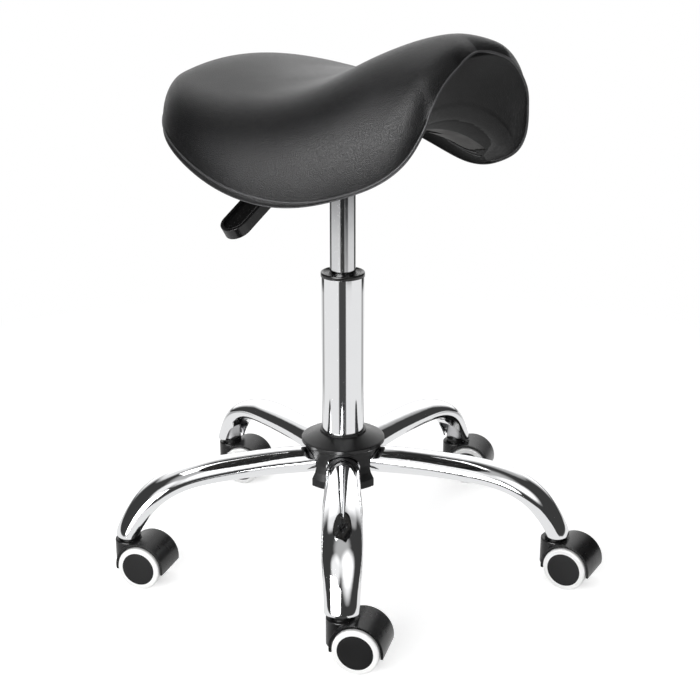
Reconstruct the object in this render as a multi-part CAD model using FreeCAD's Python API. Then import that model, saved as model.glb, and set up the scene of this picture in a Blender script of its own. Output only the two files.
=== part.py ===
import FreeCAD, Part
import math
import os

# Saddle stool: height-adjustable saddle seat on a chrome five-star base with twin-wheel casters.
# Millimetres. Origin on the floor below the column, +Z up, seat front towards -Y.

V = FreeCAD.Vector
UP = V(0, 0, 1)
ALONG_X = V(1, 0, 0)
ALONG_Y = V(0, 1, 0)
FLOOR_CENTRE = V(0, 0, 0)

# Fits
running_gap = 0.05
fitting_gap = 0.1
thrust_gap = 0.3

# Five-star base
leg_count = 5
first_leg_angle = -138.0
stem_circle_radius = 260.0
leg_wall = 2.0
leg_tip_height = 57.0
leg_notch_width = 29.0
leg_notch_top = 88.0
leg_notch_setback = 3.0
leg_notch_depth = 40.0
leg_sector_gap = 0.4

# Leg stations from the hub outwards: radius, centre height, section width, section depth
leg_root_stations = (
    (24, 121.5, 39, 30),
    (49, 121.5, 39, 30),
    (92, 123.5, 41, 29),
    (129, 123.5, 43, 28),
)
# The same towards the tip, with the distance in from the caster's stem in place of the radius
leg_tip_stations = (
    (94, 122.0, 45, 27),
    (63, 117.0, 45, 26),
    (40, 108.0, 45, 26),
    (23, 95.5, 43, 26),
    (11, 81.0, 40, 26),
    (2.5, 67.0, 38, 26),
    (-3.5, 52.0, 38, 26),
)

# Hub
core_radius = 28.0
core_bottom = 100.0
core_top = 142.0
shell_wall = 2.6
shell_bottom = 95.0
shell_foot_radius = 49.0
shell_foot_height = 9.0
shell_waist_radius = 44.0
shell_waist_height = 120.0
shell_web_thickness = 2.0
shell_shoulder_radius = 45.5
arch_clearance = 0.4
cover_rim_radius = 49.5
cover_rim_height = 4.5
cover_rim_drop = 3.5
cover_cone_radius = 27.5
cover_cone_rise = 8.0
cover_collar_height = 2.5

# Column
column_radius = 25.0
column_wall = 2.0
column_foot_radius = 23.6
column_bottom = 98.0
column_taper_top = 150.0
column_top = 344.0
column_floor_thickness = 4.0
cap_height = 5.0
cap_overhang = 0.6
cap_lip = 1.0
cap_bore_gap = 0.4
sleeve_length = 104.0

# Gas lift
rod_radius = 5.0
rod_bottom = 93.5
clip_groove_depth = 0.9
clip_thickness = 1.5
clip_radius = 8.0
ball_radius = 2.5
ball_circle_radius = 11.5
ball_count = 12
washer_radius = 16.0
washer_thickness = 3.0
bumper_height = 14.0
piston_bottom = 310.0
piston_height = 12.0
lift_radius = 15.0
lift_wall = 2.0
lift_bottom = 224.0
lift_guide_length = 20.0
lift_chamber_top = 470.0
lift_taper_bottom = 447.0
lift_tip_radius = 13.6
lift_top = 487.0
button_radius = 4.0
button_bottom = 473.0
button_top = 495.0

# Seat mechanism
socket_wall = 5.0
socket_top = 478.0
housing_length = 100.0
housing_width = 70.0
housing_wall = 2.5
housing_bottom = 462.0
plate_side = 160.0
plate_thickness = 4.0
plate_top = 515.0
bolt_spacing_x = 90.0
bolt_spacing_y = 124.0
bolt_radius = 3.0
bolt_head_radius = 5.5
bolt_head_height = 4.0
bolt_reach = 5.0
nut_barrel_wall = 1.2
nut_flange_radius = 9.5
nut_flange_thickness = 1.5

# Lever
pivot_x = -38.0
pivot_z = 490.0
pin_radius = 3.0
pin_overhang = 2.5
eye_radius = 7.0
bar_width = 16.0
bar_thickness = 5.0
bar_length = 112.0
pad_radius = 4.5
lever_droop = 18.3
paddle_bend = 13.7
lever_slot_height = 17.0
lever_slot_margin = 1.5
paddle_start = 78.0
paddle_length = 77.0
paddle_width = 32.0
paddle_thickness = 12.0
paddle_rim = 4.0
paddle_recess = 2.5

# Caster
wheel_radius = 25.3
wheel_inner_face = 4.5
wheel_outer_face = 26.0
tyre_thickness = 5.8
tyre_round = 1.8
core_hub_radius = 8.5
core_rim = 3.0
core_disc = 3.5
core_dome = 0.6
caster_trail = 21.0
axle_radius = 4.0
axle_end_gap = 0.5
hood_radius = 29.2
hood_cavity_radius = 26.5
hood_half_width = 22.5
web_half_width = 3.5
web_radius = 17.0
skirt_height = 20.5
boss_radius = 17.0
boss_top = 51.5
boss_round = 1.5
neck_radius = 12.5
neck_top = 56.5
stem_radius = 5.5
stem_bottom = 43.0
stem_top = 75.0
stem_flange_radius = 8.5
stem_flange_top = 58.0
socket_radius = 12.0
socket_roof = 92.0
weld_hole_radius = 2.5
weld_hole_height = 79.0

# Direction each caster trails, in the order of the legs
caster_trail_angles = (-64.0, -78.0, -64.0, -64.0, -66.0)

# Saddle seat
skin_thickness = 1.5
pan_thickness = 12.0
pan_edge_inset = 9.0
pan_edge_height = 11.0
pan_front = 130.0
pan_rear = -185.0
pan_pocket_gap = 0.2
seat_floor_depth = 90.0
boxing_edge = 1.0
tool_ledge = 25.0
tool_overrun = 12.0
least_rise = 1.0
seam_tolerance = 0.01

# Seat sections from rear to front. Place along the seat, half width at the seam, then heights
# above the seat plate: seam, crown, crown of the underside; then the radius of the crown, how
# many degrees the side is drawn in at the seam, and the height of the boxing below the seam.
seat_stations = (
    (-206.0, 12.0, 27.0, 30.0, 21.5, 50.0, 0.0, 7.5),
    (-203.0, 34.0, 27.0, 36.5, 22.0, 130.0, 0.0, 7.5),
    (-196.0, 61.0, 26.0, 46.0, 22.0, 205.0, 0.0, 7.5),
    (-182.0, 89.0, 22.0, 58.0, 19.0, 255.0, 0.0, 7.5),
    (-155.0, 125.0, 13.5, 68.0, 12.0, 340.0, 0.0, 7.5),
    (-115.0, 157.0, 0.0, 67.5, 3.0, 430.0, 0.0, 7.5),
    (-60.0, 176.0, -20.0, 61.0, 0.0, 465.0, 0.0, 7.5),
    (-5.0, 178.0, -38.0, 60.5, 0.0, 430.0, 0.0, 7.5),
    (45.0, 166.0, -47.5, 70.5, 0.0, 350.0, 3.0, 7.0),
    (90.0, 148.0, -46.5, 91.0, 5.0, 330.0, 6.0, 4.0),
    (125.0, 130.5, -36.5, 105.0, 15.0, 320.0, 9.0, 2.5),
    (155.0, 115.0, -21.0, 110.5, 31.0, 280.0, 9.0, 2.5),
    (175.0, 101.0, 0.0, 106.0, 42.0, 250.0, 9.0, 2.5),
    (188.0, 84.0, 37.0, 96.0, 52.0, 175.0, 3.0, 2.5),
)
underside_corner_rear = 0.6
underside_corner_front = 0.2
underside_front_place = 90.0

# Front panel of the seat, swept back under the seam. Place along the seat, half width, edge
# height and centre height above the seat plate, and the radius of its outer corners.
panel_stations = (
    (70.0, 155.0, -56.5, -44.0, 8.0),
    (85.0, 149.0, -51.5, -29.0, 9.5),
    (100.0, 142.0, -46.5, -15.0, 11.5),
    (115.0, 135.0, -41.5, -2.0, 13.5),
    (130.0, 127.0, -37.0, 12.0, 19.5),
    (145.0, 119.0, -29.0, 32.0, 32.0),
    (160.0, 111.0, -18.5, 57.0, 49.5),
    (175.0, 100.0, -2.5, 78.5, 56.0),
    (190.0, 80.0, 40.5, 94.5, 40.0),
)


def revolve(points):
    """Solid of revolution about Z from (radius, height) corners."""
    corners = [V(radius, 0, height) for radius, height in points]
    face = Part.Face(Part.makePolygon(corners + corners[:1]))
    return face.revolve(FLOOR_CENTRE, UP, 360)


def disc(radius, bottom, top, centre=(0, 0)):
    """Upright cylinder between two heights."""
    return Part.makeCylinder(radius, top - bottom, V(centre[0], centre[1], bottom))


def ring(outer, inner, bottom, top):
    """Upright tube between two heights."""
    return disc(outer, bottom, top).cut(disc(inner, bottom, top))


def block(x_range, y_range, z_range):
    """Box between three pairs of coordinates."""
    corner = V(x_range[0], y_range[0], z_range[0])
    sides = [high - low for low, high in (x_range, y_range, z_range)]
    return Part.makeBox(sides[0], sides[1], sides[2], corner)


def cross_cylinder(radius, centre, y_low, y_high):
    """Cylinder lying along Y through the point (x, z)."""
    base = V(centre[0], y_low, centre[1])
    return Part.makeCylinder(radius, y_high - y_low, base, ALONG_Y)


def union(shapes):
    """One solid from several that touch or overlap."""
    whole = shapes[0]
    for shape in shapes[1:]:
        whole = whole.fuse(shape)
    return whole.removeSplitter()


def turned(shape, angle, centre=FLOOR_CENTRE, axis=UP):
    """Turned copy."""
    copy = shape.copy()
    copy.rotate(centre, axis, angle)
    return copy


def save(name, shape):
    """Write one sub-part, a solid or a group of them."""
    solids = shape.Solids
    body = solids[0] if len(solids) == 1 else Part.makeCompound(solids)
    body.exportStep("parts/" + name + ".step")
    volume = sum(solid.Volume for solid in solids)
    print(name, len(solids), round(volume, 1), all(solid.isValid() for solid in solids))


# Base

def leg_angle(index):
    return first_leg_angle + index * 360.0 / leg_count


def leg_stations():
    """All stations of a leg with their radii, the tip following the caster's stem."""
    tip = [(stem_circle_radius - inward, height, width, depth)
           for inward, height, width, depth in leg_tip_stations]
    return list(leg_root_stations) + tip


def leg_directions(stations):
    """Unit direction of the leg's centre line at each station, in its upright plane."""
    directions = []
    last = len(stations) - 1
    for index in range(last + 1):
        before = stations[max(index - 1, 0)]
        after = stations[min(index + 1, last)]
        directions.append(V(after[0] - before[0], 0, after[1] - before[1]).normalize())
    return directions


def leg_loft(shrink):
    """Oval bar along the leg's centre line, smaller all round by shrink."""
    wires = []
    stations = leg_stations()
    for station, direction in zip(stations, leg_directions(stations)):
        radius, height, width, depth = station
        oval = Part.Ellipse(FLOOR_CENTRE, width / 2.0 - shrink, depth / 2.0 - shrink)
        across = V(0, 1, 0)
        outward = direction.cross(across)
        frame = FreeCAD.Matrix(
            across.x, outward.x, direction.x, radius,
            across.y, outward.y, direction.y, 0,
            across.z, outward.z, direction.z, height,
            0, 0, 0, 1)
        edge = oval.toShape()
        edge.transformShape(frame)
        wires.append(Part.Wire([edge]))
    return Part.makeLoft(wires, True)


def leg_notch():
    """Arched opening in the hub side of the leg's tip."""
    half = leg_notch_width / 2.0
    reach = stem_circle_radius - leg_notch_setback
    start = reach - leg_notch_depth
    spring = leg_notch_top - half
    lower = block((start, reach), (-half, half), (0, spring))
    base = V(start, 0, spring)
    upper = Part.makeCylinder(half, leg_notch_depth, base, ALONG_X)
    return lower.fuse(upper)


def leg_sector():
    """Wedge that keeps each leg clear of its neighbours at the hub."""
    half_angle = math.radians(180.0 / leg_count)
    reach = 2.0 * stem_circle_radius
    start = leg_sector_gap / math.sin(half_angle)
    side = (reach - start) * math.tan(half_angle)
    corners = [V(start, 0, 0), V(reach, -side, 0), V(reach, side, 0), V(start, 0, 0)]
    return Part.Face(Part.makePolygon(corners)).extrude(UP * 2.0 * core_top)


def make_leg(outer, inner):
    """Chrome tube coped to the hub core, its tip cut level and opened on the hub side."""
    leg = outer.cut(inner).cut(leg_notch())
    leg = leg.cut(disc(core_radius, 0, core_top))
    leg = leg.common(leg_sector())
    below = (0, 2 * stem_circle_radius)
    return leg.cut(block(below, (-stem_circle_radius, stem_circle_radius), (0, leg_tip_height)))


def make_caster_socket(inner):
    """Turned socket filling the leg's tip, bored for the caster's stem."""
    centre = (stem_circle_radius, 0)
    socket = disc(socket_radius, stem_flange_top, socket_roof, centre).common(inner)
    socket = socket.cut(disc(stem_radius, stem_flange_top, stem_top, centre))
    hole_base = V(stem_circle_radius - 2 * socket_radius, 0, weld_hole_height)
    hole = Part.makeCylinder(weld_hole_radius, 2 * socket_radius - stem_radius, hole_base, ALONG_X)
    return socket.cut(hole)


def make_caster_stem():
    """Caster stem with the flange that its swivel runs against."""
    centre = (stem_circle_radius, 0)
    stem = disc(stem_radius, stem_bottom, stem_top, centre)
    flange = disc(stem_flange_radius, neck_top + fitting_gap, stem_flange_top, centre)
    return union([stem, flange])


def column_radius_at(height):
    """Outside radius of the column's tapered foot."""
    share = (height - column_bottom) / (column_taper_top - column_bottom)
    return column_foot_radius + share * (column_radius - column_foot_radius)


def make_hub_core():
    """Steel hub that the legs are welded to, bored to the column's taper."""
    return revolve([
        (column_radius_at(core_bottom), core_bottom),
        (core_radius, core_bottom),
        (core_radius, core_top),
        (column_radius_at(core_top), core_top)])


def leg_arch_prism():
    """Arched gap in the hub shell for one leg, open below."""
    centre_height = leg_root_stations[0][1]
    width = leg_root_stations[0][2]
    depth = leg_root_stations[0][3]
    half = width / 2.0 + arch_clearance
    rise = depth / 2.0 + arch_clearance
    oval = Part.Ellipse(V(0, half, 0), V(0, 0, rise), FLOOR_CENTRE)
    arc = Part.ArcOfEllipse(oval, 0, math.pi).toShape()
    arc.translate(V(core_radius, 0, centre_height))
    left = arc.Vertexes[0].Point
    right = arc.Vertexes[1].Point
    low_left = V(left.x, left.y, 0)
    low_right = V(right.x, right.y, 0)
    sides = Part.makePolygon([right, low_right, low_left, left])
    outline = Part.Wire([arc] + sides.Edges)
    return Part.Face(outline).extrude(ALONG_X * shell_foot_radius)


def shell_profile():
    """Outer side of the hub shell from the foot to the shoulder."""
    return [
        (shell_foot_radius, shell_bottom),
        (shell_foot_radius, shell_bottom + shell_foot_height),
        (shell_waist_radius + 1.5, shell_waist_height - 8.0),
        (shell_waist_radius, shell_waist_height),
        (shell_waist_radius + 0.3, core_top - 10.0),
        (shell_shoulder_radius, core_top)]


def make_hub_shell():
    """Moulded shell around the hub, with an arch for each leg and a web over the core."""
    web_top = core_top + shell_web_thickness
    bore = column_radius_at(web_top) + fitting_gap
    outer = shell_profile() + [(shell_shoulder_radius, web_top)]
    inner = [(radius - shell_wall, height) for radius, height in shell_profile()]
    points = outer + [(bore, web_top), (bore, core_top)] + inner[::-1]
    shell = revolve(points)
    for index in range(leg_count):
        shell = shell.cut(turned(leg_arch_prism(), leg_angle(index)))
    return shell


def make_hub_cover():
    """Shallow cone cover on the shell, with a collar round the column."""
    seat = core_top + shell_web_thickness
    bore = column_radius_at(seat) + fitting_gap * 2
    rim_inner = shell_shoulder_radius + fitting_gap
    rim_top = seat + cover_rim_height - cover_rim_drop
    cone_top = rim_top + cover_cone_rise
    return revolve([
        (bore, seat),
        (rim_inner, seat),
        (rim_inner, seat - cover_rim_drop),
        (cover_rim_radius - 1.0, seat - cover_rim_drop),
        (cover_rim_radius, seat - cover_rim_drop + 1.0),
        (cover_rim_radius, rim_top),
        (cover_rim_radius - 1.5, rim_top + 0.8),
        (cover_cone_radius, cone_top),
        (cover_cone_radius, cone_top + cover_collar_height),
        (cover_cone_radius - 0.8, cone_top + cover_collar_height + 0.5),
        (column_radius + fitting_gap * 2, cone_top + cover_collar_height + 0.5)])


# Column and gas lift

def make_column_tube():
    """Outer tube of the lift, tapered into the hub, with its bottom plate."""
    inner = column_radius - column_wall
    foot_inner = column_foot_radius - column_wall
    floor_top = column_bottom + column_floor_thickness
    rod_bore = rod_radius + running_gap
    return revolve([
        (rod_bore, column_bottom),
        (column_foot_radius, column_bottom),
        (column_radius, column_taper_top),
        (column_radius, column_top),
        (inner, column_top),
        (inner, column_taper_top),
        (foot_inner, floor_top),
        (rod_bore, floor_top)])


def make_column_cap():
    """Lipped ring on top of the column."""
    bore = lift_radius + cap_bore_gap
    outer = column_radius + cap_overhang
    top = column_top + cap_height
    return revolve([
        (bore, column_top),
        (outer, column_top),
        (outer, top - cap_lip),
        (outer - cap_lip, top),
        (bore, top)])


def make_guide_sleeve():
    """Plastic sleeve that guides the lift tube in the column."""
    outer = column_radius - column_wall
    return ring(outer, lift_radius + running_gap, column_top - sleeve_length, column_top)


def bearing_floor():
    return column_bottom + column_floor_thickness


def washer_bottom():
    return bearing_floor() + 2 * ball_radius + running_gap


def make_bearing_balls():
    """Thrust balls on the column's bottom plate."""
    balls = []
    for index in range(ball_count):
        angle = math.radians(index * 360.0 / ball_count)
        x = ball_circle_radius * math.cos(angle)
        y = ball_circle_radius * math.sin(angle)
        balls.append(Part.makeSphere(ball_radius, V(x, y, bearing_floor() + ball_radius)))
    return Part.makeCompound(balls)


def make_rod_washer():
    bottom = washer_bottom()
    return ring(washer_radius, rod_radius, bottom, bottom + washer_thickness)


def make_bumper():
    """Rubber ring that stops the lift tube at its lowest."""
    bottom = washer_bottom() + washer_thickness
    return ring(washer_radius - 1.0, rod_radius, bottom, bottom + bumper_height)


def clip_top():
    return column_bottom - thrust_gap


def make_piston_rod():
    """Rod held at its foot by the clip, with the piston on top."""
    piston_radius = lift_radius - lift_wall - running_gap
    rod = disc(rod_radius, rod_bottom, piston_bottom)
    piston = disc(piston_radius, piston_bottom, piston_bottom + piston_height)
    groove = ring(2 * rod_radius, rod_radius - clip_groove_depth, clip_top() - clip_thickness, clip_top())
    return union([rod, piston]).cut(groove)


def make_rod_clip():
    """Open retaining clip in the groove at the rod's foot."""
    inner = rod_radius - clip_groove_depth
    bottom = clip_top() - clip_thickness
    clip = ring(clip_radius, inner, bottom, clip_top())
    mouth = block((0, 2 * clip_radius), (-inner, inner), (bottom, clip_top()))
    return clip.cut(mouth)


def make_lift_tube():
    """Pressure tube, closed and tapered at the top, bored for the release button."""
    inner = lift_radius - lift_wall
    bore = button_radius + running_gap
    return revolve([
        (inner, lift_bottom),
        (lift_radius, lift_bottom),
        (lift_radius, lift_taper_bottom),
        (lift_tip_radius, lift_top),
        (bore, lift_top),
        (bore, lift_chamber_top),
        (inner, lift_chamber_top)])


def make_lift_guide():
    """Bush in the mouth of the lift tube that runs on the rod."""
    outer = lift_radius - lift_wall
    return ring(outer, rod_radius + running_gap, lift_bottom, lift_bottom + lift_guide_length)


def make_release_button():
    stem = disc(button_radius, button_bottom, button_top)
    return stem.makeChamfer(0.6, [stem.Edges[0]])


# Seat mechanism

def make_housing():
    """Open-topped steel box with the tapered socket and the slot for the lever."""
    half_x = housing_length / 2.0
    half_y = housing_width / 2.0
    top = plate_top - plate_thickness
    box = block((-half_x, half_x), (-half_y, half_y), (housing_bottom, top))
    hollow = block(
        (-half_x + housing_wall, half_x - housing_wall),
        (-half_y + housing_wall, half_y - housing_wall),
        (housing_bottom + housing_wall, top))
    socket = disc(lift_radius + socket_wall, lift_taper_bottom, socket_top)
    taper = Part.makeCone(
        lift_radius, lift_tip_radius, lift_top - lift_taper_bottom, V(0, 0, lift_taper_bottom))
    slot_half = bar_width / 2.0 + lever_slot_margin
    slot_middle = pivot_z - (half_x + pivot_x) * math.tan(math.radians(lever_droop))
    slot = block(
        (-half_x, -half_x + housing_wall),
        (-slot_half, slot_half),
        (slot_middle - lever_slot_height / 2.0, slot_middle + lever_slot_height / 2.0))
    pin_bore = cross_cylinder(pin_radius, (pivot_x, pivot_z), -half_y, half_y)
    housing = union([box.cut(hollow), socket])
    return housing.cut(taper).cut(slot).cut(pin_bore)


def bolt_places():
    """Centres of the four seat bolts."""
    places = []
    for side_x in (-1, 1):
        for side_y in (-1, 1):
            places.append((side_x * bolt_spacing_x / 2.0, side_y * bolt_spacing_y / 2.0))
    return places


def make_seat_plate():
    half = plate_side / 2.0
    plate = block((-half, half), (-half, half), (plate_top - plate_thickness, plate_top))
    for centre in bolt_places():
        plate = plate.cut(disc(bolt_radius, plate_top - plate_thickness, plate_top, centre))
    return plate


def bolt_top():
    return plate_top + bolt_reach


def make_bolt(centre):
    """Hexagon bolt up through the plate and the pan."""
    head_top = plate_top - plate_thickness
    head_bottom = head_top - bolt_head_height
    corners = []
    for index in range(7):
        angle = math.radians(index * 60.0)
        x = centre[0] + bolt_head_radius * math.cos(angle)
        y = centre[1] + bolt_head_radius * math.sin(angle)
        corners.append(V(x, y, head_bottom))
    head = Part.Face(Part.makePolygon(corners)).extrude(UP * bolt_head_height)
    return union([head, disc(bolt_radius, head_top, bolt_top(), centre)])


def tee_nut_outline(centre):
    """Solid outline of a tee nut, used for its pocket in the pan as well."""
    barrel = disc(bolt_radius + nut_barrel_wall, plate_top, bolt_top(), centre)
    flange = disc(nut_flange_radius, bolt_top(), bolt_top() + nut_flange_thickness, centre)
    return union([barrel, flange])


def make_seat_fasteners():
    """Four bolts, each with the tee nut that it screws into."""
    solids = []
    for centre in bolt_places():
        bolt = make_bolt(centre)
        solids.append(bolt)
        solids.append(tee_nut_outline(centre).cut(bolt))
    return Part.makeCompound(solids)


def drooped(shape):
    """Tilted down about the lever's pivot."""
    return turned(shape, -lever_droop, V(pivot_x, 0, pivot_z), ALONG_Y)


def bent(shape):
    """Bent down at the paddle's inner end, then tilted with the rest of the lever."""
    return drooped(turned(shape, -paddle_bend, V(pivot_x - paddle_start, 0, pivot_z), ALONG_Y))


def pad_centre():
    return (0, button_top + thrust_gap + pad_radius)


def make_lever_bar():
    """Bent flat bar: eye on the pin, arm and tang out into the paddle, finger over the button."""
    half = bar_width / 2.0
    half_thick = bar_thickness / 2.0
    eye = cross_cylinder(eye_radius, (pivot_x, pivot_z), -half, half)
    bend_x = pivot_x - paddle_start
    levels = (pivot_z - half_thick, pivot_z + half_thick)
    arm = drooped(block((bend_x, pivot_x), (-half, half), levels))
    bend = drooped(cross_cylinder(half_thick, (bend_x, pivot_z), -half, half))
    tang = bent(block((pivot_x - bar_length, bend_x), (-half, half), levels))
    rise = pad_centre()[1] - pivot_z
    finger_length = math.hypot(pivot_x, rise)
    finger_tilt = -math.degrees(math.atan2(rise, -pivot_x))
    finger = turned(
        block((pivot_x, pivot_x + finger_length), (-half, half), levels),
        finger_tilt, V(pivot_x, 0, pivot_z), ALONG_Y)
    pad = cross_cylinder(pad_radius, pad_centre(), -half, half)
    pin_bore = cross_cylinder(pin_radius + running_gap, (pivot_x, pivot_z), -half, half)
    return union([eye, arm, bend, tang, finger, pad]).cut(pin_bore)


def paddle_outline(inset, bottom, top):
    """Paddle shape lying level: straight sides and a round outer end."""
    radius = paddle_width / 2.0 - inset
    end_x = pivot_x - paddle_start - paddle_length + paddle_width / 2.0
    start_x = pivot_x - paddle_start - inset
    straight = block((end_x, start_x), (-radius, radius), (bottom, top))
    return union([straight, disc(radius, bottom, top, (end_x, 0))])


def make_lever_paddle(bar):
    """Moulded paddle with a raised rim round a sunk top face."""
    bottom = pivot_z - paddle_thickness / 2.0
    top = pivot_z + paddle_thickness / 2.0
    body = paddle_outline(0, bottom, top)
    recess = paddle_outline(paddle_rim, top - paddle_recess, top)
    return bent(body.cut(recess)).cut(bar)


def make_lever_pin():
    reach = housing_width / 2.0 + pin_overhang
    return cross_cylinder(pin_radius, (pivot_x, pivot_z), -reach, reach)


# Saddle seat

def crown_radius_for(half, rise, corner):
    """Crown radius of an arch whose sides start upright with the given corner radius."""
    return (half ** 2 + rise ** 2 - 2 * half * corner) / (2 * (rise - corner))


def arch_edges(y, half, base, top, crown_radius, draw_in=0.0):
    """Four arcs: one each side of the crown, tangent to one up each side from its foot."""
    slope = math.radians(draw_in)
    across = V(math.cos(slope), 0, -math.sin(slope))
    foot = V(half, y, base)
    crown_centre = V(0, y, top - crown_radius)
    reach = foot - crown_centre
    side_radius = (reach.dot(reach) - crown_radius ** 2) / (2 * (reach.dot(across) - crown_radius))
    side_centre = foot - across * side_radius
    towards_join = (side_centre - crown_centre).normalize()
    if side_radius > crown_radius:
        towards_join = towards_join * -1.0
    join = side_centre + towards_join * side_radius
    brow = crown_centre + (UP + towards_join).normalize() * crown_radius
    flank = side_centre + (towards_join + across).normalize() * side_radius
    right = [V(0, y, top), brow, join, flank, foot]
    left = [V(-point.x, point.y, point.z) for point in right]
    return [
        Part.Arc(left[4], left[3], left[2]).toShape(),
        Part.Arc(left[2], left[1], left[0]).toShape(),
        Part.Arc(right[0], right[1], right[2]).toShape(),
        Part.Arc(right[2], right[3], right[4]).toShape()]


def open_section(arch, low, ledge=0.0):
    """Section from the floor up one side, over the arch and down the other side."""
    left_foot = arch[0].Vertexes[0].Point
    right_foot = arch[-1].Vertexes[-1].Point
    left = [V(left_foot.x - ledge, left_foot.y, low), V(left_foot.x - ledge, left_foot.y, left_foot.z)]
    right = [V(right_foot.x + ledge, left_foot.y, right_foot.z), V(right_foot.x + ledge, left_foot.y, low)]
    if ledge > 0.0:
        left.append(left_foot)
        right.insert(0, right_foot)
    return Part.Wire(Part.makePolygon(left).Edges + arch + Part.makePolygon(right).Edges)


def block_under(sections):
    """Solid under a run of open sections, closed below and at both ends."""
    skin = Part.makeLoft(sections, False)
    faces = list(skin.Faces)
    floor_edges = []
    for section in (sections[0], sections[-1]):
        ends = [section.OrderedVertexes[0].Point, section.OrderedVertexes[-1].Point]
        line = Part.makeLine(ends[1], ends[0])
        floor_edges.append(line)
        faces.append(Part.Face(Part.Wire(section.OrderedEdges + [line])))
    low = sections[0].BoundBox.ZMin
    for edge in skin.Edges:
        box = edge.BoundBox
        if box.ZMax - low < seam_tolerance and box.YLength > box.XLength:
            floor_edges.append(edge)
    faces.append(Part.Face(Part.Wire(Part.__sortEdges__(floor_edges))))
    shell = Part.makeShell(faces)
    shell.sewShape()
    return Part.makeSolid(shell)


def seat_top_block(skin):
    """Everything under the padded top, straight down from the seam, smaller by the skin."""
    reach = -seat_stations[0][0]
    low = plate_top - seat_floor_depth
    sections = []
    for place, half, seam, crown, under, crown_radius, draw_in, boxing in seat_stations:
        y = -place * (1 - skin / reach)
        arch = arch_edges(
            y, half - skin, plate_top + seam, plate_top + crown - skin, crown_radius - skin, draw_in)
        sections.append(open_section(arch, low))
    return block_under(sections)


def with_overrun(stations):
    """The stations with the first and last carried on past the ends of the seat."""
    first = (stations[0][0] - tool_overrun,) + stations[0][1:]
    last = (stations[-1][0] + tool_overrun,) + stations[-1][1:]
    return [first] + list(stations) + [last]


def underside_corner(place):
    """Corner of the underside arch as a share of its rise, smaller towards the front."""
    share = min(max(place / underside_front_place, 0.0), 1.0)
    return underside_corner_rear + share * (underside_corner_front - underside_corner_rear)


def underside_arch(station, inset, lift, raise_foot):
    """Underside of the seat at one station, moved in and up to make the pan's top."""
    place, half, seam, crown, under, crown_radius, draw_in, boxing = station
    base = plate_top + seam - boxing + raise_foot
    top = max(plate_top + under + lift, base + least_rise)
    corner = underside_corner(place) * (top - base)
    radius = crown_radius_for(half - inset, top - base, corner)
    return arch_edges(-place, half - inset, base, top, radius)


def underside_block():
    """Everything below the underside of the seat."""
    low = plate_top - seat_floor_depth - tool_overrun
    sections = []
    for station in with_overrun(seat_stations):
        sections.append(open_section(underside_arch(station, boxing_edge, 0.0, 0.0), low, tool_ledge))
    return block_under(sections)


def panel_block(skin):
    """Everything in front of and below the swept-back front panel."""
    low = plate_top - seat_floor_depth - 2 * tool_overrun
    sections = []
    for place, half, edge, crown, corner in panel_stations:
        base = plate_top + edge + skin * 0.5
        top = plate_top + crown + skin * 1.6
        radius = crown_radius_for(half - skin, top - base, corner)
        arch = arch_edges(-place, half - skin, base, top, radius)
        sections.append(open_section(arch, low, tool_ledge))
    return block_under(sections)


def pan_block():
    """Everything below the top face of the pan."""
    low = plate_top - seat_floor_depth - 3 * tool_overrun
    sections = []
    for station in seat_stations:
        if pan_rear <= station[0] <= pan_front:
            arch = underside_arch(station, pan_edge_inset, pan_thickness, pan_edge_height)
            sections.append(open_section(arch, low))
    return block_under(sections)


def make_seat():
    """Pan, foam and cover, cut from one another so that they lie face to face."""
    below = underside_block()
    outside = seat_top_block(0).cut(panel_block(0)).cut(below)
    padded = seat_top_block(skin_thickness).cut(panel_block(skin_thickness)).cut(below)
    cover = outside.cut(padded)
    pan_space = pan_block()
    foam = padded.cut(pan_space)
    pan = padded.common(pan_space)
    half = plate_side / 2.0 + pan_pocket_gap
    pocket = block((-half, half), (-half, half), (plate_top - seat_floor_depth, plate_top))
    pan = pan.cut(pocket)
    for centre in bolt_places():
        pan = pan.cut(tee_nut_outline(centre))
        pan = pan.cut(disc(nut_flange_radius, bolt_top(), bolt_top() + pan_thickness, centre))
    return pan, foam, cover


# Caster, with its stem axis on Z and trailing along +X

def make_caster_hood():
    """Moulded hood: boss on the stem, arched guard over both wheels and the web between."""
    axle = (caster_trail, wheel_radius)
    guard = cross_cylinder(hood_radius, axle, -hood_half_width, hood_half_width)
    boss = disc(boss_radius, 0, boss_top)
    boss = boss.makeFillet(boss_round, [edge for edge in boss.Edges if edge.BoundBox.ZMin > boss_top - 1])
    neck = disc(neck_radius, 0, neck_top)
    body = union([guard, boss, neck])
    body = body.cut(block((-100, 100), (-100, 100), (-10, skirt_height)))
    web = cross_cylinder(web_radius, axle, -web_half_width, web_half_width)
    body = union([body, web])
    for side in (-1, 1):
        low = min(side * web_half_width, side * 60.0)
        high = max(side * web_half_width, side * 60.0)
        body = body.cut(cross_cylinder(hood_cavity_radius, axle, low, high))
    body = body.cut(cross_cylinder(axle_radius, axle, -web_half_width, web_half_width))
    return body.cut(disc(stem_radius + running_gap, stem_bottom - thrust_gap, neck_top))


def wheel_end_bore():
    return wheel_outer_face - core_disc


def make_caster_axle():
    reach = wheel_end_bore() - axle_end_gap
    return cross_cylinder(axle_radius, (caster_trail, wheel_radius), -reach, reach)


def wheel_solid(points, side):
    """Solid of revolution about the axle from (distance from the web, radius) corners."""
    corners = [V(caster_trail, side * out, wheel_radius + radius) for out, radius in points]
    face = Part.Face(Part.makePolygon(corners + corners[:1]))
    return face.revolve(V(caster_trail, 0, wheel_radius), ALONG_Y, 360)


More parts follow.
